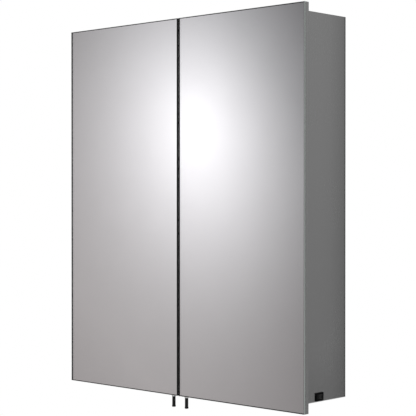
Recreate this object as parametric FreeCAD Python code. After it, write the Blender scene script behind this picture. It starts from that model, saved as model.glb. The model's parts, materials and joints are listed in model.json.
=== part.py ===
"""Wall-hung medicine cabinet with two mirror doors, an under light and a rocker switch.

Millimetres. +Z up, +X to the viewer's right, +Y towards the wall. The origin is the centre of the
four wall screw holes, on the wall plane behind the cabinet. Each file in parts/ is one piece.
"""
import FreeCAD, Part
import math
import os

V = FreeCAD.Vector

# ---- driving sizes: the whole ----
OVERALL_W = 600.0          # across both mirror doors
OVERALL_D = 130.0          # wall plane to mirror face
DOOR_H = 700.0
DOOR_GAP = 3.5             # between the two doors
OVERHANG_SIDE = 10.0       # doors stand past the body on every side
OVERHANG_TOP = 12.5
OVERHANG_BOTTOM = 14.5

# ---- body ----
SHEET = 1.0                # folded steel sheet
WALL = 12.0                # double-skin sides and top
SIDE_BEND = 1.5            # outside radius of the sides' folds
TOP_BEND = 1.0
FINE_BEND = 0.8
SERVICE_H = 28.0           # compartment under the floor for the electrics
RECESS = 12.0              # space behind the back panel for the hangers
FLANGE_CLEAR = 3.0         # wall plane to the back panel's flange
LIP = 16.0                 # floor panel's lip, above the bottom cover
COVER_CLEAR = 0.1          # bottom cover to its neighbours
COVER_SCREW_X = 250.0
COVER_SCREW_REAR_Y = -8.0
COVER_HOLE_R = 1.6
COVER_HEAD_R, COVER_HEAD_T = 3.0, 1.6
COVER_SHANK_R, COVER_SHANK_L = 1.5, 7.0
VENT_COUNT, VENT_PITCH, VENT_W = 8, 10.0, 4.0
VENT_X, VENT_Y = 172.0, (-46.0, -24.0)
SCREW_X, SCREW_Z = 220.0, 280.0         # wall screws
SCREW_HOLE_R = 2.75
HANGER_W, HANGER_T = 60.0, 2.0
HOOK_FLOOR = 300.0         # level that the hanger rests on
HANGER_DOWN, HANGER_UP = 10.0, 22.0     # hanger plate below and above that level
HOOK_LEVEL = 10.0          # hanger's shelf above that level
TONGUE_Y, TONGUE_T = -4.4, 1.8          # hanger's tongue, behind the wall plate's lip
WALL_PLATE_T, WALL_PLATE_OUT, WALL_PLATE_LIP = 2.0, 7.0, 8.0
WALL_PLATE_INSET, WALL_PLATE_DOWN = 6.0, 18.0
SPACER, SPACER_ROUND = 24.0, 2.0

# ---- shelves ----
SHELF_T = 5.0
SHELF_COUNT = 3
SHELF_Y = (-108.0, -16.0)
SHELF_END_CLEAR = 1.5
SHELF_ROUND = 1.2
HOLE_PITCH = 32.0          # rows of shelf peg holes
PEG_Y = (-96.0, -28.0)
PEG_DROP = 3.4             # peg centre below the shelf's underside
PEG_HOLE_R, PEG_R, PEG_L = 2.5, 2.4, 9.0
PEG_COLLAR_R, PEG_COLLAR_T = 4.0, 1.2
TONGUE_L, TONGUE_W, PEG_TONGUE_T = 11.0, 8.0, 2.0
WEB_L, WEB_W, WEB_SLOPE_L = 9.0, 2.0, 8.0

# ---- doors ----
GLASS = 4.0                # door mirror
ARRIS = 0.6                # chamfer ground on the mirror's front edge
TAPE = 0.5                 # adhesive tape between mirror and door tray
TAPE_W, TAPE_INSET, TAPE_BREAK = 6.5, 2.5, 1.0
TRAY_D = 8.5
TRAY_SHEET = 0.9
TRAY_LIP = 10.0            # folded lip that the mirror is bonded to
TRAY_BEND = 1.0
PRESSING = 1.5             # depth of the stiffening panel pressed into the door back
PRESSING_MEET, PRESSING_HINGE, PRESSING_END = 50.0, 42.0, 60.0     # its margins
PRESSING_CORNER = 8.0
DOOR_CLEAR = 2.2           # body front to door back, where the hinge leaves lie
PULL_X = 16.5
PULL_SETBACK = 2.5         # pull's centre behind the tray's front
PULL_L = 22.5
PULL_STEM_R, PULL_KNOB_R, PULL_KNOB_L, PULL_ROUND = 3.15, 3.5, 4.0, 1.2
STUD_R, STUD_L, STUD_HOLE_R = 1.5, 9.0, 1.6
COLLAR_R, COLLAR_T, COLLAR_ROUND = 3.7, 2.5, 0.5
BUFFER_R, BUFFER_X, BUFFER_LOW, BUFFER_ROUND = 4.0, 18.0, 14.0, 0.8
CLEAR = 0.3                # usual play between neighbours

# ---- magnetic catch ----
CATCH_X = 26.0
CATCH_W, CATCH_D, CATCH_H, CATCH_ROUND = 36.0, 24.0, 13.0, 1.5
CATCH_FRONT, MAGNET_FRONT = 0.2, -0.4   # behind the body's front plane
MAGNET_W, MAGNET_D, MAGNET_H = 28.0, 14.0, 8.0
CATCH_SCREW_R, CATCH_SCREW_DEPTH, CATCH_SCREW_Y = 2.0, 8.0, 19.0
STRIKE_W, STRIKE_H, STRIKE_T, STRIKE_ROUND = 32.0, 12.0, 1.1, 2.0
DIMPLE_R, DIMPLE_FLOOR_R, DIMPLE_DEPTH = 2.6, 1.4, 0.7

# ---- hinges: interleaved knuckles on one pin ----
HINGE_H = 60.0
HINGE_Z = 230.0            # hinge centres above and below the middle
LEAF = 0.9
BARREL_R = 2.4
BARREL_CLEAR = 0.4         # barrel to the body's side and to the door's back
PIN_R, PIN_FIT = 1.2, 0.05
PIN_HEAD_R, PIN_HEAD_T, PIN_SHOULDER = 1.9, 1.2, 0.5
KNUCKLES = 5
KNUCKLE_GAP = 0.3
BODY_KNUCKLES, DOOR_KNUCKLES = (0, 2, 4), (1, 3)
BODY_LEAF_INSET, DOOR_LEAF_REACH = 1.0, 32.0
BODY_SCREW_IN, DOOR_SCREW_IN = 6.0, 24.0            # screw rows, in from the side's outer face
SCREW_PITCH = 21.0
PILOT_R, SINK_FIT = 1.3, 0.05
CSK_R, CSK_NECK_R, CSK_SHANK_R, CSK_SHANK_L = 2.5, 1.4, 1.2, 5.0

# ---- rocker switch ----
SWITCH_Y = -76.0           # centre, on the right side
SWITCH_RISE = 9.0          # centre above the body's bottom
BEZEL_L, BEZEL_W, BEZEL_T = 21.0, 15.0, 2.0
BEZEL_CORNER, BEZEL_ROUND = 1.2, 0.7
CUTOUT_L, CUTOUT_W, CUTOUT_FIT = 19.0, 12.8, 0.15
SWITCH_DEPTH = 20.0
ROCKER_R = 6.6
ROCKER_L, ROCKER_W = 14.0, 9.2          # window in the bezel
WELL_CLEAR = 0.8
ROCKER_TILT = 11.0                      # degrees each way from level
ROCKER_SINK = 0.5                       # pivot behind the side's face
ROCKER_FACE = 1.6                       # middle of the rocker's face, out from the pivot
RIB_R, RIB_L, RIB_PLACES = 0.35, 4.8, (3.2, 4.3, 5.4)
PIVOT_R, PIVOT_L, PIVOT_FIT, PIVOT_END_PLAY = 1.0, 11.2, 0.05, 0.2
TERMINAL_L, TERMINAL_W, TERMINAL_T, TERMINAL_Y = 8.0, 4.8, 0.8, 5.0

# ---- under light, driver and leads ----
LIGHT_L, LIGHT_W, LIGHT_Y = 300.0, 18.0, -71.0      # slot in the bottom cover
LENS_PROUD, LENS_ROUND = 1.0, 0.8
RIM, RIM_T = 3.0, 1.2
HOUSING_RISE, HOUSING_ROUND = 18.5, 2.0
BOARD_W, BOARD_T, BOARD_END = 12.0, 1.2, 4.0
CHIP_COUNT, CHIP_L, CHIP_W, CHIP_T, CHIP_END = 24, 2.8, 3.5, 0.8, 8.0
DRIVER_X, DRIVER_Y = (165.0, 255.0), (-58.0, -18.0)
DRIVER_H, DRIVER_ROUND = 20.0, 2.0
LEAD_R = 2.0
SWITCH_LEAD_X, SWITCH_LEAD_BEND = 238.0, 12.0
LIGHT_LEAD_X, LIGHT_LEAD_Y, LIGHT_LEAD_RISE, LIGHT_LEAD_BEND = 120.0, -38.0, 11.0, 14.0
GLAND_X, GLAND_RISE, GLAND_BORE_R = 100.0, 14.0, 4.0
GLAND_NECK, GLAND_COLLAR, GLAND_SIDE, GLAND_ROUND = 3.0, 5.0, 3.0, 1.0

# ---- planes worked out from them ----
BODY_W = OVERALL_W - 2 * OVERHANG_SIDE
BODY_H = DOOR_H - OVERHANG_TOP - OVERHANG_BOTTOM
XO = BODY_W / 2                         # outer face of a side
XI = XO - WALL                          # inner face of a side
ZT = BODY_H / 2                         # top of the body
ZB = -ZT                                # bottom of the body
Z_CEILING = ZT - WALL
Z_FLOOR = ZB + SERVICE_H
Y_MIRROR = -OVERALL_D
Y_GLASS_BACK = Y_MIRROR + GLASS
Y_TRAY_FRONT = Y_GLASS_BACK + TAPE
Y_DOOR_BACK = Y_TRAY_FRONT + TRAY_D
Y_FRONT = Y_DOOR_BACK + DOOR_CLEAR      # front plane of the body
Y_BACK = -RECESS                        # rear face of the back panel
X_EDGE = OVERALL_W / 2                  # outer edge of a door
X_MEET = DOOR_GAP / 2                   # meeting edge of a door
DOOR_TOP = ZT + OVERHANG_TOP
DOOR_BOTTOM = ZB - OVERHANG_BOTTOM
PULL_Y = Y_TRAY_FRONT + PULL_SETBACK
CATCH_Z = Z_CEILING - CATCH_H / 2
HINGE_X = XO + BARREL_R + BARREL_CLEAR  # hinge axis, just outside the body's front corner
HINGE_Y = Y_DOOR_BACK + BARREL_R + BARREL_CLEAR
BODY_SCREW_X = XO - BODY_SCREW_IN
DOOR_SCREW_X = XO - DOOR_SCREW_IN
SWITCH_Z = ZB + SWITCH_RISE
ROCKER_X = XO - ROCKER_SINK             # pivot of the rocker
COVER_TOP = ZB + SHEET
HOUSING_TOP = ZB + HOUSING_RISE
GLAND_Z = ZB + GLAND_RISE
COVER_SCREWS = [(x, y) for x in (-COVER_SCREW_X, COVER_SCREW_X)
                for y in (Y_FRONT + LIP / 2, COVER_SCREW_REAR_Y)]

# ---- modelling ----
X_AXIS, Y_AXIS, Z_AXIS = (1, 0, 0), (0, 1, 0), (0, 0, 1)
PAST = 1.0                 # how far a cutter runs past a surface
SINK = 0.1                 # how far joined solids run into each other


def box(x0, x1, y0, y1, z0, z1):
    return Part.makeBox(x1 - x0, y1 - y0, z1 - z0, V(x0, y0, z0))


def centred(x, y, z, length, depth, height):
    """Box round a centre point."""
    return box(x - length / 2, x + length / 2, y - depth / 2, y + depth / 2, z - height / 2, z + height / 2)


def rod(r, start, direction, length):
    return Part.makeCylinder(r, length, V(*start), V(*direction))


def drill(r, at, direction, depth):
    """Cutter for a round hole through a sheet of that depth, which begins at a point."""
    return rod(r, V(*at) - V(*direction) * PAST, direction, depth + 2 * PAST)


def cone(r0, r1, start, direction, length):
    return Part.makeCone(r0, r1, length, V(*start), V(*direction))


def mirrored(shape):
    """The same piece for the left side."""
    return shape.mirror(V(0, 0, 0), V(1, 0, 0))


def join(first, *others):
    for other in others:
        first = first.fuse(other)
    return first.removeSplitter()


def cut(shape, *tools):
    for tool in tools:
        shape = shape.cut(tool)
    return shape


def near(a, b):
    return abs(a - b) < 1e-3


def rounded(shape, radius, test):
    """Fillets the edges whose middle point passes the test."""
    chosen = []
    for edge in shape.Edges:
        middle = edge.valueAt((edge.FirstParameter + edge.LastParameter) / 2)
        if test(middle):
            chosen.append(edge)
    return shape.makeFillet(radius, chosen)


def cross_slots(x, y, z, reach, width, depth, axis):
    """Two crossed slots for a screwdriver, centred on a head's face."""
    if axis == Z_AXIS:
        return [centred(x, y, z, reach, width, depth), centred(x, y, z, width, reach, depth)]
    return [centred(x, y, z, reach, depth, width), centred(x, y, z, width, depth, reach)]


def save(name, *shapes):
    """Writes one node: a single solid, or a group of separate ones."""
    solids = [s for shape in shapes for s in shape.Solids]
    whole = solids[0] if len(solids) == 1 else Part.makeCompound(solids)
    whole.exportStep("parts/%s.step" % name)


def save_pair(stem, *shapes):
    """Writes right_STEM as built and left_STEM as its mirror image."""
    save("right_" + stem, *shapes)
    save("left_" + stem, *[mirrored(s) for s in shapes])


# ---- body ----
def shelf_levels():
    """Underside of each shelf, top one first."""
    clear = Z_CEILING - Z_FLOOR
    step = (clear - SHELF_COUNT * SHELF_T) / (SHELF_COUNT + 1)
    return [Z_CEILING - (i + 1) * (step + SHELF_T) for i in range(SHELF_COUNT)]


def screw_levels(centre):
    return [centre + row * SCREW_PITCH for row in (-1, 0, 1)]


def all_screw_levels():
    return screw_levels(HINGE_Z) + screw_levels(-HINGE_Z)


def side_panel():
    """Right side: a flat closed box folded from one sheet, with rows of shelf peg holes."""
    shell = box(XI, XO, Y_FRONT, 0, ZB, ZT)
    shell = rounded(shell, SIDE_BEND, lambda p: near(p.x, XO))
    shell = rounded(shell, FINE_BEND, lambda p: near(p.y, Y_FRONT) and near(p.x, XI))
    hollow = box(XI + SHEET, XO - SHEET, Y_FRONT + SHEET, -SHEET, ZB + SHEET, ZT - SHEET)
    holes = [drill(PEG_HOLE_R, (XI, y, level - PEG_DROP + row * HOLE_PITCH), X_AXIS, SHEET)
             for level in shelf_levels() for row in (-1, 0, 1) for y in PEG_Y]
    holes += [drill(PILOT_R, (BODY_SCREW_X, Y_FRONT, z), Y_AXIS, SHEET) for z in all_screw_levels()]
    return cut(shell, hollow, *holes)


def right_side_panel():
    """The right side also has the cut-out for the rocker switch."""
    return cut(side_panel(), centred(XO, SWITCH_Y, SWITCH_Z, 3 * WALL, CUTOUT_L, CUTOUT_W))


def top_panel():
    """Top: a flat closed box between the sides."""
    shell = box(-XI, XI, Y_FRONT, 0, Z_CEILING, ZT)
    shell = rounded(shell, TOP_BEND, lambda p: near(p.x, 0) and (near(p.y, Y_FRONT) or near(p.z, ZT)))
    hollow = box(-XI + SHEET, XI - SHEET, Y_FRONT + SHEET, -SHEET, Z_CEILING + SHEET, ZT - SHEET)
    return cut(shell, hollow)


def floor_panel():
    """Cabinet floor, folded down at the front as a fascia, with a lip for the bottom cover."""
    profile = join(
        box(-XI, XI, Y_FRONT, Y_BACK - SHEET, Z_FLOOR - SHEET, Z_FLOOR),
        box(-XI, XI, Y_FRONT, Y_FRONT + SHEET, ZB, Z_FLOOR),
        box(-XI, XI, Y_FRONT, Y_FRONT + LIP, COVER_TOP, COVER_TOP + SHEET),
    )
    profile = rounded(profile, FINE_BEND,
                      lambda p: near(p.y, Y_FRONT) and near(p.x, 0) and near(p.z, Z_FLOOR))
    screws = [drill(COVER_HOLE_R, (x, y, COVER_TOP), Z_AXIS, SHEET) for x, y in COVER_SCREWS]
    return cut(profile, *screws)


def bottom_cover():
    """Screwed-on service cover with the light slot and a row of vents over the driver."""
    plate = box(-XI + COVER_CLEAR, XI - COVER_CLEAR, Y_FRONT + SHEET + COVER_CLEAR, 0, ZB, COVER_TOP)
    slot = centred(0, LIGHT_Y, ZB, LIGHT_L, LIGHT_W, 4 * SHEET)
    screws = [drill(COVER_HOLE_R, (x, y, ZB), Z_AXIS, SHEET) for x, y in COVER_SCREWS]
    vents = []
    for i in range(VENT_COUNT):
        x = VENT_X + i * VENT_PITCH
        vents.append(box(x, x + VENT_W, *VENT_Y, ZB - PAST, COVER_TOP + PAST))
    return cut(plate, slot, *screws, *vents)


def cover_screws():
    """Pan-head cross-slot screws up through the bottom cover."""
    screws = []
    low = ZB - COVER_HEAD_T
    for x, y in COVER_SCREWS:
        head = rod(COVER_HEAD_R, (x, y, low), Z_AXIS, COVER_HEAD_T)
        head = rounded(head, 0.4 * COVER_HEAD_T, lambda p: near(p.z, low))
        shank = rod(COVER_SHANK_R, (x, y, ZB - SINK), Z_AXIS, COVER_SHANK_L + SINK)
        slots = cross_slots(x, y, low, COVER_HEAD_R + SINK, 0.2 * COVER_HEAD_R, COVER_HEAD_T, Z_AXIS)
        screws.append(cut(join(head, shank), *slots))
    return screws


def back_panel():
    """Back sheet with a flange folded towards the wall all round."""
    tray = box(-XI, XI, Y_BACK - SHEET, -FLANGE_CLEAR, COVER_TOP, Z_CEILING)
    tray = cut(tray, box(-XI + SHEET, XI - SHEET, Y_BACK, 0, COVER_TOP + SHEET, Z_CEILING - SHEET))
    holes = [drill(SCREW_HOLE_R, (x, Y_BACK - SHEET, -SCREW_Z), Y_AXIS, SHEET) for x in (-SCREW_X, SCREW_X)]
    holes += [drill(COVER_HOLE_R, (x, COVER_SCREW_REAR_Y, COVER_TOP), Z_AXIS, SHEET)
              for x in (-COVER_SCREW_X, COVER_SCREW_X)]
    holes.append(drill(GLAND_BORE_R + GLAND_NECK, (GLAND_X, Y_BACK - SHEET, GLAND_Z), Y_AXIS, SHEET))
    return cut(tray, *holes)


def hanger_bracket(x):
    """Bracket on the cabinet: a plate, a shelf back over the wall plate's lip, and a tongue down."""
    w = HANGER_W / 2
    shelf_z = HOOK_FLOOR + HOOK_LEVEL
    tongue_back = TONGUE_Y + TONGUE_T
    return join(
        box(x - w, x + w, Y_BACK, Y_BACK + HANGER_T, HOOK_FLOOR - HANGER_DOWN, HOOK_FLOOR + HANGER_UP),
        box(x - w, x + w, Y_BACK, tongue_back, shelf_z, shelf_z + HANGER_T),
        box(x - w, x + w, TONGUE_Y, tongue_back, HOOK_FLOOR, shelf_z + HANGER_T),
    )


def wall_plate(x):
    """Plate screwed to the wall, with an upturned lip that carries the hanger's tongue."""
    w = HANGER_W / 2 - WALL_PLATE_INSET
    t, out = WALL_PLATE_T, WALL_PLATE_OUT
    plate = join(
        box(x - w, x + w, -t, 0, SCREW_Z - WALL_PLATE_DOWN, HOOK_FLOOR),
        box(x - w, x + w, -out, 0, HOOK_FLOOR - t, HOOK_FLOOR),
        box(x - w, x + w, -out, -out + t, HOOK_FLOOR - t, HOOK_FLOOR + WALL_PLATE_LIP),
    )
    return cut(plate, drill(SCREW_HOLE_R, (x, -t, SCREW_Z), Y_AXIS, t))


def wall_spacer(x):
    """Block that keeps the lower back off the wall and takes a security screw."""
    block = centred(x, Y_BACK / 2, -SCREW_Z, SPACER, RECESS, SPACER)
    block = rounded(block, SPACER_ROUND, lambda p: near(p.y, Y_BACK / 2))
    return cut(block, drill(SCREW_HOLE_R, (x, Y_BACK, -SCREW_Z), Y_AXIS, RECESS))


# ---- shelves ----
def shelf(level):
    x = XI - SHELF_END_CLEAR
    plate = box(-x, x, *SHELF_Y, level, level + SHELF_T)
    return rounded(plate, SHELF_ROUND, lambda p: near(p.y, SHELF_Y[0]) and near(p.x, 0))


def shelf_pegs(level):
    """Four spade pegs: a round pin in the side's hole, a collar, and a flat tongue under the glass."""
    z = level - PEG_DROP
    inner = XI - SHEET                  # the tongue's root, inside the collar
    pegs = []
    for y in PEG_Y:
        pin = rod(PEG_R, (inner, y, z), X_AXIS, PEG_L)
        collar = rod(PEG_COLLAR_R, (XI - PEG_COLLAR_T, y, z), X_AXIS, PEG_COLLAR_T)
        tongue = box(XI - TONGUE_L, inner, y - TONGUE_W / 2, y + TONGUE_W / 2, level - PEG_TONGUE_T, level)
        web = box(XI - WEB_L, inner, y - WEB_W / 2, y + WEB_W / 2, z - WEB_W, level - PEG_TONGUE_T / 2)
        toe = box(XI - TONGUE_L, XI - WEB_SLOPE_L, y - WEB_W, y + WEB_W, z - 2 * WEB_W, z - 0.2 * WEB_W)
        above = box(XI - TONGUE_L - PAST, XI, y - TONGUE_W, y + TONGUE_W, level, level + PEG_COLLAR_R)
        peg = cut(join(pin, collar, cut(web, toe), tongue), above)
        pegs += [peg, mirrored(peg)]
    return pegs


# ---- doors, built for the right and mirrored ----
def door_mirror():
    glass = box(X_MEET, X_EDGE, Y_MIRROR, Y_GLASS_BACK, DOOR_BOTTOM, DOOR_TOP)
    return glass.makeChamfer(ARRIS, [e for e in glass.Edges if near(e.CenterOfMass.y, Y_MIRROR)])


def pressed_panel():
    """The shallow dish pressed into the door's back, and the block of sheet round it."""
    x0, x1 = X_MEET + PRESSING_MEET, X_EDGE - PRESSING_HINGE
    z0, z1 = DOOR_BOTTOM + PRESSING_END, DOOR_TOP - PRESSING_END
    dish = box(x0, x1, Y_DOOR_BACK - PRESSING, Y_DOOR_BACK + PAST, z0, z1)
    middle = Y_DOOR_BACK + (PAST - PRESSING) / 2
    dish = rounded(dish, PRESSING_CORNER, lambda p: near(p.y, middle))
    s = TRAY_SHEET
    return dish, box(x0 - s, x1 + s, Y_DOOR_BACK - PRESSING - s, Y_DOOR_BACK, z0 - s, z1 + s)


def door_tray():
    """Steel tray behind the mirror: rolled back edges, a bonding lip and a pressed-in back."""
    tray = box(X_MEET, X_EDGE, Y_TRAY_FRONT, Y_DOOR_BACK, DOOR_BOTTOM, DOOR_TOP)
    tray = rounded(tray, TRAY_BEND, lambda p: near(p.y, Y_DOOR_BACK))
    dish, sheet_round_dish = pressed_panel()
    s = TRAY_SHEET
    hollow = box(X_MEET + s, X_EDGE - s, Y_TRAY_FRONT + s, Y_DOOR_BACK - s, DOOR_BOTTOM + s, DOOR_TOP - s)
    window = box(X_MEET + TRAY_LIP, X_EDGE - TRAY_LIP, Y_TRAY_FRONT - PAST, Y_TRAY_FRONT + 2 * s,
                 DOOR_BOTTOM + TRAY_LIP, DOOR_TOP - TRAY_LIP)
    holes = [drill(PILOT_R, (DOOR_SCREW_X, Y_DOOR_BACK - s, z), Y_AXIS, s) for z in all_screw_levels()]
    holes.append(drill(STUD_HOLE_R, (PULL_X, PULL_Y, DOOR_BOTTOM), Z_AXIS, s))
    return cut(tray, dish, cut(hollow, sheet_round_dish), window, *holes)


def door_tape():
    """Four strips of foam tape on the tray's lip."""
    x0, x1 = X_MEET + TAPE_INSET, X_EDGE - TAPE_INSET
    z0, z1 = DOOR_BOTTOM + TAPE_INSET, DOOR_TOP - TAPE_INSET
    y0, y1 = Y_GLASS_BACK, Y_TRAY_FRONT
    run0, run1 = x0 + TAPE_W + TAPE_BREAK, x1 - TAPE_W - TAPE_BREAK
    return [
        box(x0, x0 + TAPE_W, y0, y1, z0, z1),
        box(x1 - TAPE_W, x1, y0, y1, z0, z1),
        box(run0, run1, y0, y1, z0, z0 + TAPE_W),
        box(run0, run1, y0, y1, z1 - TAPE_W, z1),
    ]


def door_pull():
    """Peg under the door, to pull it open by: a stem with a fuller end and a threaded stud."""
    top, end = DOOR_BOTTOM - COLLAR_T, DOOR_BOTTOM - PULL_L
    knob_top, knob_middle = end + PULL_KNOB_L, end + PULL_KNOB_L / 2
    stem = rod(PULL_STEM_R, (PULL_X, PULL_Y, knob_middle), Z_AXIS, top - knob_middle)
    knob = rod(PULL_KNOB_R, (PULL_X, PULL_Y, end), Z_AXIS, PULL_KNOB_L)
    knob = rounded(knob, PULL_ROUND, lambda p: near(p.z, end) or near(p.z, knob_top))
    stud = rod(STUD_R, (PULL_X, PULL_Y, top - SINK), Z_AXIS, STUD_L)
    return join(stem, knob, stud)


def pull_collar():
    low = DOOR_BOTTOM - COLLAR_T
    ring = rod(COLLAR_R, (PULL_X, PULL_Y, low), Z_AXIS, COLLAR_T)
    ring = rounded(ring, COLLAR_ROUND, lambda p: near(p.z, low))
    return cut(ring, drill(STUD_HOLE_R, (PULL_X, PULL_Y, low), Z_AXIS, COLLAR_T))


def door_buffers():
    """Two soft discs on the door back that meet the body."""
    thick = DOOR_CLEAR - CLEAR
    discs = []
    for z in (Z_CEILING + WALL / 2, ZB + BUFFER_LOW):
        disc = rod(BUFFER_R, (X_MEET + BUFFER_X, Y_DOOR_BACK, z), Y_AXIS, thick)
        discs.append(rounded(disc, BUFFER_ROUND, lambda p: near(p.y, Y_DOOR_BACK + thick)))
    return discs


# ---- magnetic catch ----
def catch_magnet():
    middle = Y_FRONT + MAGNET_FRONT + MAGNET_D / 2
    return centred(CATCH_X, middle, CATCH_Z, MAGNET_W, MAGNET_D, MAGNET_H)


def catch_housing():
    underside = Z_CEILING - CATCH_H
    shell = box(CATCH_X - CATCH_W / 2, CATCH_X + CATCH_W / 2, Y_FRONT + CATCH_FRONT, Y_FRONT + CATCH_D,
                underside, Z_CEILING)
    shell = rounded(shell, CATCH_ROUND, lambda p: near(p.z, underside))
    screw = rod(CATCH_SCREW_R, (CATCH_X, Y_FRONT + CATCH_SCREW_Y, underside - PAST), Z_AXIS,
                CATCH_SCREW_DEPTH + PAST)
    return cut(shell, catch_magnet(), screw)


def strike_plate():
    middle, face = Y_DOOR_BACK + STRIKE_T / 2, Y_DOOR_BACK + STRIKE_T
    plate = centred(CATCH_X, middle, CATCH_Z, STRIKE_W, STRIKE_T, STRIKE_H)
    plate = rounded(plate, STRIKE_ROUND, lambda p: near(p.y, middle))
    return cut(plate, cone(DIMPLE_R, DIMPLE_FLOOR_R, (CATCH_X, face, CATCH_Z), (0, -1, 0), DIMPLE_DEPTH))


# ---- hinges ----
def knuckle_span(centre, index):
    pitch = HINGE_H / KNUCKLES
    low = centre - HINGE_H / 2 + index * pitch
    return low + KNUCKLE_GAP / 2, low + pitch - KNUCKLE_GAP / 2


def hinge_leaf(centre, y0, y1, x_far, own):
    """A leaf from x_far to the barrel, with the knuckles whose index is in own."""
    leaf = box(x_far, XO + SINK, y0, y1, centre - HINGE_H / 2, centre + HINGE_H / 2)
    for index in own:
        low, high = knuckle_span(centre, index)
        barrel = rod(BARREL_R, (HINGE_X, HINGE_Y, low), Z_AXIS, high - low)
        tab = box(XO, HINGE_X, y0, y1, low, high)
        leaf = leaf.fuse(barrel.fuse(tab))
    bore = drill(PIN_R + PIN_FIT, (HINGE_X, HINGE_Y, centre - HINGE_H / 2), Z_AXIS, HINGE_H)
    return cut(leaf.removeSplitter(), bore)


def screw_sinks(screw_x, surface, into, centre):
    """Countersinks, from the leaf's free surface down through the leaf."""
    return [cone(CSK_R + SINK_FIT, CSK_NECK_R + SINK_FIT, (screw_x, surface, z), (0, into, 0), LEAF)
            for z in screw_levels(centre)]


def body_leaf(centre):
    front = Y_FRONT - LEAF
    leaf = hinge_leaf(centre, front, Y_FRONT, XI + BODY_LEAF_INSET, BODY_KNUCKLES)
    return cut(leaf, *screw_sinks(BODY_SCREW_X, front, 1, centre))


def door_leaf(centre):
    free = Y_DOOR_BACK + LEAF
    leaf = hinge_leaf(centre, Y_DOOR_BACK, free, XO - DOOR_LEAF_REACH, DOOR_KNUCKLES)
    return cut(leaf, *screw_sinks(DOOR_SCREW_X, free, -1, centre))


def hinge_pin(centre):
    low, high = centre - HINGE_H / 2, centre + HINGE_H / 2
    shaft = rod(PIN_R, (HINGE_X, HINGE_Y, low - PIN_SHOULDER), Z_AXIS, HINGE_H + 2 * PIN_SHOULDER)
    heads = [rod(PIN_HEAD_R, (HINGE_X, HINGE_Y, z), Z_AXIS, PIN_HEAD_T) for z in (low - PIN_HEAD_T, high)]
    return join(shaft, *heads)


def hinge_screws(screw_x, surface, into):
    """Six countersunk screws, three to a hinge."""
    screws = []
    for z in all_screw_levels():
        head = cone(CSK_R, CSK_NECK_R, (screw_x, surface, z), (0, into, 0), LEAF)
        shank = rod(CSK_SHANK_R, (screw_x, surface + into * LEAF, z), (0, into, 0), CSK_SHANK_L)
        slots = cross_slots(screw_x, surface, z, CSK_R + SINK, 0.2 * CSK_R, LEAF, Y_AXIS)
        screws.append(cut(join(head, shank), *slots))
    return screws


# ---- rocker switch ----
def switch_housing():
    """Bezel against the side, and a body through both skins with a well for the rocker."""
    face = XO + BEZEL_T
    bezel = box(XO, face, SWITCH_Y - BEZEL_L / 2, SWITCH_Y + BEZEL_L / 2,
                SWITCH_Z - BEZEL_W / 2, SWITCH_Z + BEZEL_W / 2)
    bezel = rounded(bezel, BEZEL_CORNER, lambda p: near(p.x, XO + BEZEL_T / 2))
    bezel = rounded(bezel, BEZEL_ROUND, lambda p: near(p.x, face))
    bl, bw = CUTOUT_L / 2 - CUTOUT_FIT, CUTOUT_W / 2 - CUTOUT_FIT
    body = box(XO - SWITCH_DEPTH, XO + SINK, SWITCH_Y - bl, SWITCH_Y + bl, SWITCH_Z - bw, SWITCH_Z + bw)
    well = box(ROCKER_X - ROCKER_R - WELL_CLEAR, face + PAST, SWITCH_Y - ROCKER_L / 2,
               SWITCH_Y + ROCKER_L / 2, SWITCH_Z - ROCKER_W / 2, SWITCH_Z + ROCKER_W / 2)
    reach = PIVOT_L / 2 + PIVOT_END_PLAY
    pivot = rod(PIVOT_R + PIVOT_FIT, (ROCKER_X, SWITCH_Y, SWITCH_Z - reach), Z_AXIS, 2 * reach)
    return cut(join(bezel, body), well, pivot)


def switch_rocker():
    """Round-backed rocker with two facets that dip to the middle, its rear half standing out."""
    h = ROCKER_W / 2 - CLEAR
    drum = rod(ROCKER_R, (ROCKER_X, SWITCH_Y, SWITCH_Z - h), Z_AXIS, 2 * h)
    slope = math.tan(math.radians(ROCKER_TILT))
    base, reach, far = ROCKER_X + ROCKER_FACE, 2 * ROCKER_R, ROCKER_X + 4 * ROCKER_R
    outline = [(base, 0), (base + slope * reach, reach), (far, reach), (far, -reach),
               (base + slope * reach, -reach), (base, 0)]
    low = SWITCH_Z - ROCKER_W
    points = [V(x, SWITCH_Y + dy, low) for x, dy in outline]
    above = Part.Face(Part.makePolygon(points)).extrude(V(0, 0, 2 * ROCKER_W))
    ribs = [rod(RIB_R, (base + slope * d, SWITCH_Y + d, SWITCH_Z - RIB_L / 2), Z_AXIS, RIB_L)
            for d in RIB_PLACES]
    pins = rod(PIVOT_R, (ROCKER_X, SWITCH_Y, SWITCH_Z - PIVOT_L / 2), Z_AXIS, PIVOT_L)
    rocker = join(cut(drum, above, *ribs), pins)
    rocker.rotate(V(ROCKER_X, SWITCH_Y, 0), V(0, 0, 1), -ROCKER_TILT)
    return rocker


def switch_terminals():
    x = XO - SWITCH_DEPTH - TERMINAL_L / 2
    return [centred(x, SWITCH_Y + dy, SWITCH_Z, TERMINAL_L, TERMINAL_T, TERMINAL_W)
            for dy in (-TERMINAL_Y, TERMINAL_Y)]


# ---- under light, driver and leads, all under the floor ----
def light_diffuser():
    """Lens through the slot in the cover, with a rim that rests on the cover."""
    top, low = COVER_TOP + RIM_T, ZB - LENS_PROUD
    lens = centred(0, LIGHT_Y, (low + top) / 2, LIGHT_L - 2 * CLEAR, LIGHT_W - 2 * CLEAR, top - low)
    lens = rounded(lens, LENS_ROUND, lambda p: near(p.z, low))
    rim = centred(0, LIGHT_Y, top - RIM_T / 2, LIGHT_L + 2 * RIM, LIGHT_W + 2 * RIM, RIM_T)
    return join(lens, rim)


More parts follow.
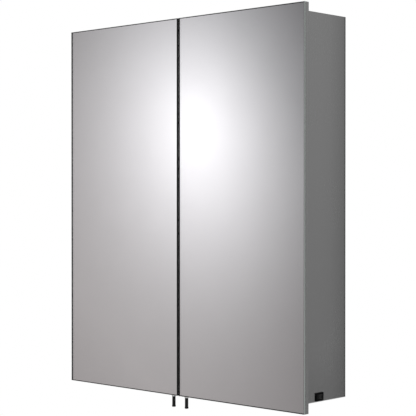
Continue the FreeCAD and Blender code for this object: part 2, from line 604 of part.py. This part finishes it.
def light_housing():
    """Channel over the diffuser, open below."""
    low = COVER_TOP + RIM_T
    length, width, height = LIGHT_L + 2 * RIM, LIGHT_W + 2 * RIM, HOUSING_TOP - low
    shell = centred(0, LIGHT_Y, low + height / 2, length, width, height)
    shell = rounded(shell, HOUSING_ROUND, lambda p: near(p.z, HOUSING_TOP))
    inside = centred(0, LIGHT_Y, low + height / 2 - SHEET, length - 2 * SHEET, width - 2 * SHEET, height)
    return cut(shell, inside)


def led_board():
    """Board under the housing's roof, with a row of light chips."""
    top = HOUSING_TOP - SHEET
    board = centred(0, LIGHT_Y, top - BOARD_T / 2, LIGHT_L - 2 * BOARD_END, BOARD_W, BOARD_T)
    pitch = (LIGHT_L - 2 * CHIP_END) / (CHIP_COUNT - 1)
    chip_z = top - BOARD_T - CHIP_T / 2
    for i in range(CHIP_COUNT):
        x = -LIGHT_L / 2 + CHIP_END + i * pitch
        board = board.fuse(centred(x, LIGHT_Y, chip_z + SINK / 2, CHIP_L, CHIP_W, CHIP_T + SINK))
    return board.removeSplitter()


def led_driver():
    top = COVER_TOP + DRIVER_H
    case = box(*DRIVER_X, *DRIVER_Y, COVER_TOP, top)
    return rounded(case, DRIVER_ROUND, lambda p: near(p.z, top) or near(p.z, COVER_TOP + DRIVER_H / 2))


def bent_lead(start, corner, end, radius):
    """A round lead along two straight runs joined by one tangent arc."""
    a, b, c = V(*start), V(*corner), V(*end)
    into, out = (b - a).normalize(), (c - b).normalize()
    first, last = b - into * radius, b + out * radius
    centre = first + out * radius
    middle = centre + (b - centre).normalize() * radius
    wire = Part.Wire([
        Part.LineSegment(a, first).toShape(),
        Part.Arc(first, middle, last).toShape(),
        Part.LineSegment(last, c).toShape(),
    ])
    ring = Part.Wire([Part.Circle(a, into, LEAD_R).toShape()])
    return wire.makePipeShell([ring], True, True)


def switch_lead():
    x, z = SWITCH_LEAD_X, SWITCH_Z
    terminals_end = XO - SWITCH_DEPTH - TERMINAL_L
    return bent_lead((x, DRIVER_Y[0], z), (x, SWITCH_Y, z), (terminals_end, SWITCH_Y, z), SWITCH_LEAD_BEND)


def light_lead():
    x, y, z = LIGHT_LEAD_X, LIGHT_LEAD_Y, ZB + LIGHT_LEAD_RISE
    housing = LIGHT_Y + LIGHT_W / 2 + RIM
    return bent_lead((DRIVER_X[0], y, z), (x, y, z), (x, housing, z), LIGHT_LEAD_BEND)


def supply_gland():
    """Rubber grommet in the back panel that the supply cable comes in through."""
    face = Y_BACK - SHEET
    collar_r, neck_r = GLAND_BORE_R + GLAND_COLLAR, GLAND_BORE_R + GLAND_NECK
    collar = rod(collar_r, (GLAND_X, face - GLAND_SIDE, GLAND_Z), Y_AXIS, SHEET + 2 * GLAND_SIDE)
    collar = rounded(collar, GLAND_ROUND, lambda p: True)
    groove = cut(rod(collar_r + PAST, (GLAND_X, face, GLAND_Z), Y_AXIS, SHEET),
                 drill(neck_r, (GLAND_X, face, GLAND_Z), Y_AXIS, SHEET))
    bore = drill(GLAND_BORE_R, (GLAND_X, face - GLAND_SIDE, GLAND_Z), Y_AXIS, SHEET + 2 * GLAND_SIDE)
    return cut(collar, groove, bore)


# ---- all the pieces ----
def build_body():
    save("right_side_panel", right_side_panel())
    save("left_side_panel", mirrored(side_panel()))
    save("top_panel", top_panel())
    save("floor_panel", floor_panel())
    save("bottom_cover", bottom_cover())
    save("bottom_cover_screws", *cover_screws())
    save("back_panel", back_panel())
    places = (-SCREW_X, SCREW_X)
    save("hanger_brackets", *[hanger_bracket(x) for x in places])
    save("wall_plates", *[wall_plate(x) for x in places])
    save("wall_spacers", *[wall_spacer(x) for x in places])


def build_shelves():
    for name, level in zip(("upper", "middle", "lower"), shelf_levels()):
        save(name + "_shelf", shelf(level))
        save(name + "_shelf_pegs", *shelf_pegs(level))


def build_doors():
    save_pair("door_mirror", door_mirror())
    save_pair("door_tray", door_tray())
    save_pair("door_tape", *door_tape())
    save_pair("door_pull", door_pull())
    save_pair("pull_collar", pull_collar())
    save_pair("door_buffers", *door_buffers())
    save_pair("strike_plate", strike_plate())
    save_pair("catch_housing", catch_housing())
    save_pair("catch_magnet", catch_magnet())


def build_hinges():
    for name, centre in (("upper", HINGE_Z), ("lower", -HINGE_Z)):
        save_pair(name + "_hinge_body_leaf", body_leaf(centre))
        save_pair(name + "_hinge_door_leaf", door_leaf(centre))
        save_pair(name + "_hinge_pin", hinge_pin(centre))
    save_pair("hinge_body_screws", *hinge_screws(BODY_SCREW_X, Y_FRONT - LEAF, 1))
    save_pair("hinge_door_screws", *hinge_screws(DOOR_SCREW_X, Y_DOOR_BACK + LEAF, -1))


def build_electrics():
    save("switch_housing", switch_housing())
    save("switch_rocker", switch_rocker())
    save("switch_terminals", *switch_terminals())
    save("light_diffuser", light_diffuser())
    save("light_housing", light_housing())
    save("led_board", led_board())
    save("led_driver", led_driver())
    save("switch_lead", switch_lead())
    save("light_lead", light_lead())
    save("supply_gland", supply_gland())


os.makedirs("parts", exist_ok=True)
build_body()
build_shelves()
build_doors()
build_hinges()
build_electrics()
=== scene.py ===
"""Looks of the mirror cabinet, in metres, in the CAD model's frame: +Z up, the mirrors face -Y."""
import bmesh
import bpy
import json
import math
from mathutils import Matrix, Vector


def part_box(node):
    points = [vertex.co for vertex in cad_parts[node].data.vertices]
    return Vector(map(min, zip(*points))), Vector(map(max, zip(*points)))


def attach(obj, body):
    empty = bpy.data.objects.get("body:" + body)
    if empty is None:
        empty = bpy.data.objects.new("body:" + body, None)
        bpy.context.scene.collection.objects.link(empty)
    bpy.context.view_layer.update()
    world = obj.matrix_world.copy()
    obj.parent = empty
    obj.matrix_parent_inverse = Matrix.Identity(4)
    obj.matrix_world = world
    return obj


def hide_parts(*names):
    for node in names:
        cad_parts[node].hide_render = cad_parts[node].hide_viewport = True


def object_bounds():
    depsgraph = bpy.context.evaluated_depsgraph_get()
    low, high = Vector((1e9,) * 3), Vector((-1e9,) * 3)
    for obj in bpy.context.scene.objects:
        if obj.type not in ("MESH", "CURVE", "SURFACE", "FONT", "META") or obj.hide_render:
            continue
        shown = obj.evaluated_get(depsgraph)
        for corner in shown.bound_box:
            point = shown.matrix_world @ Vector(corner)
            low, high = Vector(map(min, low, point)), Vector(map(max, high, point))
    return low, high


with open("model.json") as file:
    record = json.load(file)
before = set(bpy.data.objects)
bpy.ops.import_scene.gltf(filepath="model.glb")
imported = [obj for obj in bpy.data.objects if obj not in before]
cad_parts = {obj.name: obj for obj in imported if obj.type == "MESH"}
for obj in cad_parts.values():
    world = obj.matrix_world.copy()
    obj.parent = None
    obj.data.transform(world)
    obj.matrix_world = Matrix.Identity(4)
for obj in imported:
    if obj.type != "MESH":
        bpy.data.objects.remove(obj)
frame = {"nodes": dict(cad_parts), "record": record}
cad_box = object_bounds()

MM = 0.001
SIDES = ("right", "left")

# ---- camera: a long lens at the cabinet's front right, level with its middle ----
CAMERA_AZIMUTH = 43.14         # degrees round from the front, towards +X
CAMERA_ELEVATION = 0.48
CAMERA_DISTANCE = 2.3033
CAMERA_LENS, CAMERA_SENSOR = 110.06, 36.0      # millimetres
AIM_RIGHT = 77.3 * MM          # the aim point on the mirror plane, right of the middle
AIM_RAISE = -0.9 * MM

# ---- floor and lamp ----
FLOOR_DROP = 1.2               # floor below the cabinet's bottom edge
FLOOR_RADIUS = 6.0
FLOOR_FADE = 1.5               # distance at which the floor starts to thin out
FLOOR_SIDES = 128
FLOOR_GREY = (0.80, 0.80, 0.80)
LAMP_SIZE, LAMP_POWER = 4.0, 75.0
LAMP_PLACE, LAMP_AIM = (0.3, -1.2, 2.6), (0, 0, -0.4)

# ---- what the mirrors reflect at the photo's angle: one soft glow in a grey room, angles in degrees ----
MIRROR_GAIN = 0.90             # share of light that the silvering returns
GLOW_AZIMUTH, GLOW_ELEVATION = -43.62, 3.08
GLOW_WIDTH, GLOW_HEIGHT, GLOW_FALL = 4.15, 6.43, 1.40
GLOW_STRENGTH = 1.018
GLOW_LEAN = math.radians(6.15)
GLOW_EDGE = (2.2, 4.6)         # in glow radii: where the rest of the studio takes over
ROOM_LEVEL = 0.0993
ROOM_SLOPE_ACROSS, ROOM_SLOPE_UP = -0.0161, -0.0128
ROOM_LOW, ROOM_HIGH = 0.0107, 0.28
ROOM_TINT, GLOW_TINT = (1.048, 0.978, 0.985), (0.996, 0.986, 1.030)

# ---- the rest of the studio: an even level with soft lights and one dark corner ----
AMBIENT, DARKEST = 0.34, 0.04
LOBES = (                      # azimuth, elevation, strength, sharpness
    (137.0, 12.1, 0.384, 11.6),
    (93.0, -8.0, 1.1, 60.0),
    (0.0, 88.0, 0.75, 5.0),
    (15.0, 8.0, 0.62, 9.0),
    (-100.0, 35.0, 0.55, 6.0),
    (141.0, 15.8, -0.329, 3.0),
)

# ---- mirror plates ----
ARRIS = 0.6 * MM
GROUND = 0.20 * MM             # tiny roundings either side of the arris
GROUND_TURN = 0.6              # such a rounding's depth as a share of its width
SILVER_GAP = 0.06 * MM         # the backing paint's thickness, in front of the tape
SILVER_MARGIN = 1.5 * MM       # bare strip round the silvering, black with edge sealant
MEETING_MARGIN = 0.7 * MM      # the same where the two doors meet
# the last finish is black: sealant on the bare back strip, and painted shade on the meeting edge in the
# doors' gap
FRONT, EDGE, ARRIS_FACE, BACK, SEALANT_AND_GAP_SHADE = range(5)
PLATE_RIGHT, PLATE_LEFT = 1, 3             # two of the plate's four edges, counted from the bottom

# ---- finishes: noise scales are per millimetre, bump depths in metres ----
NOISE_LOW, NOISE_HIGH = 0.3, 0.7           # a noise's value mostly lies between these
BODY_GREY = (0.52, 0.52, 0.52)
SWITCH_BLACK = (0.002, 0.002, 0.0022)
UPRIGHT_GRAIN = (0.9, 0.9, 0.03)           # how fine the grain is along X, Y and Z: long upright lines
GRAIN_SCALE, CLOUD_SCALE = 1.6, 0.012
GRAIN_SHARE, CLOUD_SHARE = 0.55, 0.45      # what each adds to the finish's tone and gloss
SATIN_TONE = 0.022                         # how far the tone varies each way
SATIN_GLOSS = (-0.03, 0.04)                # how far the roughness varies
GRAIN_STRENGTH, GRAIN_DEPTH = 0.03, 0.00004
# painted shade: the body darkens towards the wall as in a wall's shadow, with a dark line along the rear
# edge
BODY_WALL_SHADE = ((0, 0.50), (4.4, 0.50), (5.4, 0.77), (18, 0.85), (45, 0.97), (70, 1.0))
LOW_SHADE_SPAN, LOW_SHADE = (-336.0, -240.0), 0.87     # heights in millimetres: painted shade, the body is darker low down
OWN_FINISH = {"switch_rocker": "rocker_plastic"}    # nodes with a finish of their own within a slot


# ---------------------------------------------------------------- node helpers
class Graph:
    """A small wrapper that adds nodes to a tree and links whatever it is given."""

    def __init__(self, tree):
        self.tree = tree
        tree.nodes.clear()

    def add(self, kind, inputs=None, **props):
        node = self.tree.nodes.new(kind)
        for key, value in props.items():
            setattr(node, key, value)
        for key, value in (inputs or {}).items():
            self.put(node.inputs[key], value)
        return node

    def put(self, socket, value):
        if isinstance(value, bpy.types.Node):
            value = value.outputs[0]
        if isinstance(value, bpy.types.NodeSocket):
            self.tree.links.new(value, socket)
        else:
            socket.default_value = value

    def math(self, operation, *values):
        return self.add("ShaderNodeMath", dict(enumerate(values)), operation=operation)

    def sum_of(self, first, first_weight, second, second_weight):
        return self.math("ADD", self.math("MULTIPLY", first, first_weight),
                         self.math("MULTIPLY", second, second_weight))

    def vector(self, operation, *values, **named):
        inputs = {**dict(enumerate(values)), **named}
        return self.add("ShaderNodeVectorMath", inputs, operation=operation)

    def separate(self, vector):
        return self.add("ShaderNodeSeparateXYZ", {0: vector}).outputs

    def noise(self, vector, scale, detail=4.0, roughness=0.5):
        inputs = {"Vector": vector, "Scale": scale, "Detail": detail, "Roughness": roughness}
        return self.add("ShaderNodeTexNoise", inputs)

    def ramp(self, factor, stops):
        node = self.add("ShaderNodeValToRGB", {"Fac": factor})
        elements = node.color_ramp.elements
        while len(elements) < len(stops):
            elements.new(1.0)
        for element, (place, colour) in zip(elements, stops):
            element.position = place
            element.color = (*colour, 1.0)
        return node

    def remap(self, value, low, high, new_low, new_high, smooth=False):
        inputs = {"Value": value, "From Min": low, "From Max": high,
                  "To Min": new_low, "To Max": new_high}
        kind = "SMOOTHSTEP" if smooth else "LINEAR"
        return self.add("ShaderNodeMapRange", inputs, interpolation_type=kind)


def direction(azimuth, elevation):
    """Unit vector; azimuth 0 is the front, -Y, and 90 is +X."""
    a, e = math.radians(azimuth), math.radians(elevation)
    return Vector((math.sin(a) * math.cos(e), -math.cos(a) * math.cos(e), math.sin(e)))


# ---------------------------------------------------------------- studio
def mirrors_box():
    """Box round both mirrors."""
    boxes = [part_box(side + "_door_mirror") for side in SIDES]
    low = Vector([min(b[0][i] for b in boxes) for i in range(3)])
    high = Vector([max(b[1][i] for b in boxes) for i in range(3)])
    return low, high


def make_camera():
    low, high = mirrors_box()
    aim = Vector(((low.x + high.x) / 2 + AIM_RIGHT, low.y, (low.z + high.z) / 2 + AIM_RAISE))
    back = direction(CAMERA_AZIMUTH, CAMERA_ELEVATION)
    data = bpy.data.cameras.new("camera")
    data.lens = CAMERA_LENS
    data.sensor_width = CAMERA_SENSOR
    camera = bpy.data.objects.new("camera", data)
    camera.location = aim + back * CAMERA_DISTANCE
    camera.rotation_euler = (-back).to_track_quat("-Z", "Y").to_euler()
    bpy.context.scene.collection.objects.link(camera)
    bpy.context.scene.camera = camera


def make_world():
    """White behind the cabinet; a soft grey studio with one glow for whatever is reflected."""
    world = bpy.data.worlds.new("studio")
    bpy.context.scene.world = world
    world.use_nodes = True
    g = Graph(world.node_tree)
    ray = g.add("ShaderNodeTexCoord").outputs["Generated"]
    x, y, z = g.separate(ray)
    azimuth = g.math("DEGREES", g.math("ARCTAN2", x, g.math("MULTIPLY", y, -1.0)))
    elevation = g.math("DEGREES", g.math("ARCSINE", z))
    across = g.math("SUBTRACT", azimuth, GLOW_AZIMUTH)
    up = g.math("SUBTRACT", elevation, GLOW_ELEVATION)

    # the glow, an ellipse leaning to one side, and the room round it
    lean, stand = math.sin(GLOW_LEAN), math.cos(GLOW_LEAN)
    u = g.sum_of(across, stand / GLOW_WIDTH, up, lean / GLOW_WIDTH)
    v = g.sum_of(up, stand / GLOW_HEIGHT, across, -lean / GLOW_HEIGHT)
    radius = g.math("SQRT", g.math("ADD", g.math("MULTIPLY", u, u), g.math("MULTIPLY", v, v)))
    fall = g.math("EXPONENT", g.math("MULTIPLY", g.math("POWER", radius, GLOW_FALL), -1.0))
    glow = g.math("MULTIPLY", fall, GLOW_STRENGTH / MIRROR_GAIN)
    slope = g.sum_of(across, ROOM_SLOPE_ACROSS, up, ROOM_SLOPE_UP)
    room = g.math("MAXIMUM", g.math("ADD", slope, ROOM_LEVEL), ROOM_LOW)
    room = g.math("DIVIDE", g.math("MINIMUM", room, ROOM_HIGH), MIRROR_GAIN)
    warm = g.vector("SCALE", ROOM_TINT, Scale=room)
    cool = g.vector("SCALE", GLOW_TINT, Scale=glow)
    front = g.vector("ADD", warm, cool)

    # the rest of the studio
    level = AMBIENT
    for lobe_azimuth, lobe_elevation, strength, sharpness in LOBES:
        centre = direction(lobe_azimuth, lobe_elevation)
        facing = g.vector("DOT_PRODUCT", ray, centre).outputs["Value"]
        lobe = g.math("EXPONENT", g.math("MULTIPLY", g.math("SUBTRACT", facing, 1.0), sharpness))
        level = g.math("ADD", level, g.math("MULTIPLY", lobe, strength))
    plain = g.add("ShaderNodeCombineXYZ", {0: level, 1: level, 2: level})

    share = g.remap(radius, *GLOW_EDGE, 0.0, 1.0, smooth=True)
    far = g.vector("SCALE", plain, Scale=share)
    near = g.vector("SCALE", front, Scale=g.math("SUBTRACT", 1.0, share))
    total = g.vector("MAXIMUM", g.vector("ADD", near, far), (DARKEST,) * 3)
    studio = g.add("ShaderNodeBackground", {"Color": total, "Strength": 1.0})
    white = g.add("ShaderNodeBackground", {"Color": (1, 1, 1, 1), "Strength": 1.0})
    seen = g.add("ShaderNodeLightPath").outputs["Is Camera Ray"]
    blend = g.add("ShaderNodeMixShader", {0: seen, 1: studio, 2: white})
    g.add("ShaderNodeOutputWorld", {"Surface": blend})


def make_floor():
    low, _ = cad_box
    bpy.ops.mesh.primitive_circle_add(vertices=FLOOR_SIDES, radius=FLOOR_RADIUS, fill_type="NGON",
                                      location=(0, 0, low.z - FLOOR_DROP))
    floor = bpy.context.object
    floor.name = "floor"
    floor.data.materials.append(floor_paint())


def make_lamp():
    """One wide soft light overhead, which no surface reflects as a disk."""
    data = bpy.data.lights.new("overhead", "AREA")
    data.shape = "DISK"
    data.size = LAMP_SIZE
    data.energy = LAMP_POWER
    lamp = bpy.data.objects.new("overhead", data)
    lamp.location = LAMP_PLACE
    lamp.rotation_euler = (Vector(LAMP_AIM) - lamp.location).to_track_quat("-Z", "Y").to_euler()
    lamp.visible_camera = False
    lamp.visible_glossy = False
    lamp.visible_transmission = False
    bpy.context.scene.collection.objects.link(lamp)


# ---------------------------------------------------------------- materials
def material(name, **sockets):
    """A Principled material: itself, its graph, its shader and object coordinates in millimetres.

    A socket's name is written with _ for a space, and its value is set on the shader itself."""
    made = bpy.data.materials.new(name)
    made.use_nodes = True
    g = Graph(made.node_tree)
    shader = g.add("ShaderNodeBsdfPrincipled")
    for key, value in sockets.items():
        shader.inputs[key.replace("_", " ")].default_value = value
    g.add("ShaderNodeOutputMaterial", {"Surface": shader})
    place = g.add("ShaderNodeTexCoord").outputs["Object"]
    return made, g, shader, g.vector("MULTIPLY", place, (1 / MM,) * 3)


def tint(colour, factor):
    return tuple(min(1.0, c * factor) for c in colour)


def wander(g, factor, colour, amount):
    """A colour that a noise moves by the given share each way."""
    stops = [(NOISE_LOW, tint(colour, 1 - amount)), (NOISE_HIGH, tint(colour, 1 + amount))]
    return g.ramp(factor, stops)


def vary(g, shader, place, colour, scale, amount):
    """Base colour that wanders over the surface by a few percent."""
    g.put(shader.inputs["Base Color"], wander(g, g.noise(place, scale, 3.0), colour, amount))


def bump(g, shader, height, strength, distance):
    inputs = {"Strength": strength, "Distance": distance, "Height": height}
    g.put(shader.inputs["Normal"], g.add("ShaderNodeBump", inputs))


def satin_metal(name, colour, roughness=0.25, grain=UPRIGHT_GRAIN, wall_shade=None):
    """Satin sheet metal with a fine grain and clouds of slightly duller finish.

    wall_shade is a list of (millimetres from the wall, tone): painted shade that darkens the finish
    towards the wall, as a wall's shadow would, with a dark line along the rear edge; with it the finish
    is also painted darker low down."""
    made, g, shader, place = material(name, Metallic=1.0, Roughness=roughness)
    lines = g.noise(g.vector("MULTIPLY", place, grain), GRAIN_SCALE, 5.0, 0.6)
    clouds = g.noise(place, CLOUD_SCALE, 3.0)
    shade = g.sum_of(lines, GRAIN_SHARE, clouds, CLOUD_SHARE)
    tone = wander(g, shade, colour, SATIN_TONE)
    if wall_shade:
        _, depth, height = g.separate(place)
        span = wall_shade[-1][0]
        # painted shade: darker towards the wall where its shadow would fall
        wall_shade_mask = g.remap(depth, 0.0, -span, 0.0, 1.0)
        painted_wall_shade = g.ramp(wall_shade_mask, [(mm / span, (value,) * 3) for mm, value in wall_shade])
        tone = g.vector("MULTIPLY", tone, painted_wall_shade)
        # painted shade: darker low down
        tone = g.vector("SCALE", tone, Scale=g.remap(height, *LOW_SHADE_SPAN, LOW_SHADE, 1.0))
    g.put(shader.inputs["Base Color"], tone)
    glossiest, dullest = (roughness + change for change in SATIN_GLOSS)
    gloss = g.remap(shade, NOISE_LOW, NOISE_HIGH, glossiest, dullest)
    g.put(shader.inputs["Roughness"], gloss)
    bump(g, shader, lines, GRAIN_STRENGTH, GRAIN_DEPTH)
    return made


def zinc(name, colour):
    """Zinc plating: a light spangle of large pale cells."""
    made, g, shader, place = material(name, Metallic=1.0, Roughness=0.36)
    cells = g.add("ShaderNodeTexVoronoi", {"Vector": place, "Scale": 0.16})
    tone = g.ramp(cells.outputs["Color"], [(0.0, tint(colour, 0.9)), (1.0, tint(colour, 1.08))])
    g.put(shader.inputs["Base Color"], tone)
    dulled = g.remap(g.noise(place, 0.4), NOISE_LOW, NOISE_HIGH, 0.30, 0.44)
    g.put(shader.inputs["Roughness"], dulled)
    return made


def plastic(name, colour, roughness, grain=2.5, depth=0.00003, specular=0.5):
    """Moulded plastic, rubber or foam with a fine texture; grain is its scale."""
    made, g, shader, place = material(name, Roughness=roughness, Specular_IOR_Level=specular,
                                      Coat_Weight=0.3 * specular)
    vary(g, shader, place, colour, 0.15, 0.06)
    bump(g, shader, g.noise(place, grain), 0.3, depth)
    return made


def opal_plastic(name, colour):
    made, g, shader, place = material(name, Roughness=0.35, Subsurface_Weight=0.3,
                                      Subsurface_Radius=(2 * MM,) * 3)
    vary(g, shader, place, colour, 0.1, 0.02)
    bump(g, shader, g.noise(place, 1.2, 2.0), 0.1, 0.00003)
    return made


def clear_glass(name, colour):
    """Shelf glass: clear, with faint smears."""
    made, g, shader, place = material(name, Roughness=0.0, IOR=1.52, Transmission_Weight=1.0)
    vary(g, shader, place, colour, 0.02, 0.01)
    smears = g.remap(g.noise(place, 0.08, 5.0), 0.4, 0.8, 0.0, 0.02)
    g.put(shader.inputs["Roughness"], smears)
    return made


def ground_glass(name, colour, roughness, specular=0.5):
    made, g, shader, place = material(name, Roughness=roughness, Specular_IOR_Level=specular)
    vary(g, shader, place, colour, 0.8, 0.08)
    bump(g, shader, g.noise(place, 9.0, 3.0), 0.25, 0.00003)
    return made


def mirror_front():
    """The front of the glass: polished, with the faintest film on it."""
    made, g, shader, place = material("mirror_front", IOR=1.52, Transmission_Weight=1.0)
    vary(g, shader, place, (0.985, 0.992, 0.988), 0.02, 0.004)
    film = g.remap(g.noise(place, 0.05, 6.0, 0.7), 0.45, 0.75, 0.0, 0.012)
    g.put(shader.inputs["Roughness"], film)
    return made


def mirror_silver():
    """The silvering, seen through the glass."""
    made, g, shader, place = material("mirror_silver", Metallic=1.0, Roughness=0.01)
    vary(g, shader, place, (0.93, 0.925, 0.92), 0.02, 0.004)
    return made


def floor_paint():
    """Pale matt floor that thins out to nothing towards its rim."""
    made, g, shader, place = material("floor_paint", Roughness=0.85)
    vary(g, shader, place, FLOOR_GREY, 0.004, 0.01)
    distance = g.vector("LENGTH", place).outputs["Value"]
    fade = g.remap(distance, FLOOR_FADE / MM, FLOOR_RADIUS / MM, 1.0, 0.0, smooth=True)
    g.put(shader.inputs["Alpha"], fade)
    return made


def make_finishes():
    """The finish of each material slot, by the slot's name, and those that OWN_FINISH names."""
    return {
        # the body's finish carries painted shade towards the wall and low down
        "body_metal": satin_metal("body_metal", BODY_GREY, wall_shade=BODY_WALL_SHADE),
        "door_metal": satin_metal("door_metal", tint(BODY_GREY, 1.02)),
        "back_metal": satin_metal("back_metal", tint(BODY_GREY, 1.36), 0.36),
        "tape": plastic("tape_foam", (0.012, 0.012, 0.012), 0.9, 3.0, 0.0001, 0.2),
        "pull_black": plastic("pull_black", (0.005, 0.005, 0.005), 0.16, 0.6, 0.00001, 0.22),
        "chrome": satin_metal("chrome", (0.78, 0.78, 0.78), 0.08),
        "buffer_rubber": plastic("buffer_gel", (0.62, 0.62, 0.60), 0.3),
        "strike_steel": satin_metal("strike_steel", (0.60, 0.60, 0.60), 0.28, (0.05, 0.9, 0.9)),
        "catch_plastic": plastic("catch_plastic", (0.68, 0.68, 0.67), 0.42),
        "magnet": plastic("magnet", (0.05, 0.05, 0.055), 0.5),
        "hinge_steel": satin_metal("hinge_steel", (0.47, 0.465, 0.46), 0.30, (0.9, 0.9, 0.2)),
        "screw_steel": satin_metal("screw_steel", (0.78, 0.78, 0.76), 0.16, (0.7, 0.7, 0.7)),
        "rocker_plastic": plastic("rocker_plastic", SWITCH_BLACK, 0.20, 1.5, 0.00001, 0.22),
        "switch_plastic": plastic("switch_plastic", SWITCH_BLACK, 0.22, 1.5, 0.00001, 0.06),
        "terminal_brass": satin_metal("terminal_brass", (0.72, 0.62, 0.38), 0.25),
        "lead_pvc": plastic("lead_pvc", (0.72, 0.72, 0.70), 0.4),
        "gland_rubber": plastic("gland_rubber", (0.02, 0.02, 0.02), 0.6),
        "diffuser": opal_plastic("opal_plastic", (0.86, 0.86, 0.84)),
        "light_metal": satin_metal("light_metal", (0.72, 0.72, 0.72), 0.3),
        "circuit_board": plastic("circuit_board", (0.80, 0.80, 0.76), 0.35),
        "driver_plastic": plastic("driver_plastic", (0.76, 0.76, 0.75), 0.45),
        "zinc_steel": zinc("zinc_steel", (0.62, 0.63, 0.64)),
        "spacer_plastic": plastic("spacer_plastic", (0.04, 0.04, 0.04), 0.5),
        "peg_metal": satin_metal("peg_metal", (0.76, 0.75, 0.73), 0.14),
        "shelf_glass": clear_glass("clear_glass", (0.90, 0.965, 0.94)),
    }


def dress_nodes(finishes):
    """Every CAD node takes its slot's finish; the mirrors are replaced, so they need none."""
    slots = {row["node"]: row["material_slot"] for row in frame["record"]["subparts"]}
    for name, node in frame["nodes"].items():
        finish = finishes.get(OWN_FINISH.get(name, slots[name]))
        if finish is not None:
            node.data.materials.clear()
            node.data.materials.append(finish)


# ---------------------------------------------------------------- mirrors
def mesh_piece(name, build, body, nodes, finishes):
    """A new mesh from a bmesh builder, riding on a body and standing for CAD nodes."""
    bm = bmesh.new()
    build(bm)
    mesh = bpy.data.meshes.new(name)
    bm.to_mesh(mesh)
    bm.free()
    for finish in finishes:
        mesh.materials.append(finish)
    piece = bpy.data.objects.new(name, mesh)
    bpy.context.scene.collection.objects.link(piece)
    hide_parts(*nodes)
    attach(piece, body)


def mirror_plate(low, high, meeting):
    """Builder for a mirror: front face, ground arris and edge, silvered back, and a black meeting edge,
    painted shade of the gap between the doors.

    meeting is PLATE_RIGHT or PLATE_LEFT, the edge beside the other door."""
    def rectangle(bm, y, inset, meeting_inset=None):
        left = right = inset
        if meeting_inset is not None and meeting == PLATE_LEFT:
            left = meeting_inset
        elif meeting_inset is not None:
            right = meeting_inset
        xs, zs = (low.x + left, high.x - right), (low.z + inset, high.z - inset)
        corners = ((xs[0], zs[0]), (xs[1], zs[0]), (xs[1], zs[1]), (xs[0], zs[1]))
        return [bm.verts.new((x, y, z)) for x, z in corners]

    def build(bm):
        silver_y = high.y - SILVER_GAP
        rings = [
            rectangle(bm, low.y, ARRIS),
            rectangle(bm, low.y + GROUND * GROUND_TURN, ARRIS - GROUND),
            rectangle(bm, low.y + ARRIS - GROUND, GROUND * GROUND_TURN),
            rectangle(bm, low.y + ARRIS, 0.0),
            rectangle(bm, high.y - GROUND, 0.0),
            rectangle(bm, silver_y, GROUND),
            rectangle(bm, silver_y, SILVER_MARGIN, MEETING_MARGIN),
        ]
        kinds = (ARRIS_FACE, ARRIS_FACE, ARRIS_FACE, EDGE, EDGE, SEALANT_AND_GAP_SHADE)
        for outer, inner, kind in zip(rings, rings[1:], kinds):
            for i in range(4):
                j = (i + 1) % 4
                face = bm.faces.new((outer[i], outer[j], inner[j], inner[i]))
                # the meeting edge gets the black finish as painted shade of the gap between the doors
                face.material_index = SEALANT_AND_GAP_SHADE if i == meeting and kind == EDGE else kind
        bm.faces.new(rings[0]).material_index = FRONT
        bm.faces.new(rings[-1]).material_index = BACK
        bmesh.ops.recalc_face_normals(bm, faces=bm.faces)

    return build


def make_mirrors():
    finishes = [                               # in the order FRONT, EDGE, ARRIS_FACE, BACK, SEALANT_AND_GAP_SHADE
        mirror_front(),
        ground_glass("glass_edge", (0.455, 0.49, 0.47), 0.35),
        ground_glass("glass_arris", (0.085, 0.09, 0.09), 0.30),
        mirror_silver(),
        # black: sealant on the back strip, and painted shade on the meeting edges
        ground_glass("glass_edge_black_and_gap_shade", (0.004, 0.004, 0.004), 0.45, specular=0.1),
    ]
    for side in SIDES:
        node = side + "_door_mirror"
        meeting = PLATE_LEFT if side == "right" else PLATE_RIGHT
        plate = mirror_plate(*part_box(node), meeting)
        mesh_piece(side + "_mirror_glass", plate, side + "_door", [node], finishes)


# ---------------------------------------------------------------- put together
bpy.context.scene.view_settings.view_transform = "Standard"
make_camera()
make_world()
make_floor()
make_lamp()
dress_nodes(make_finishes())
make_mirrors()
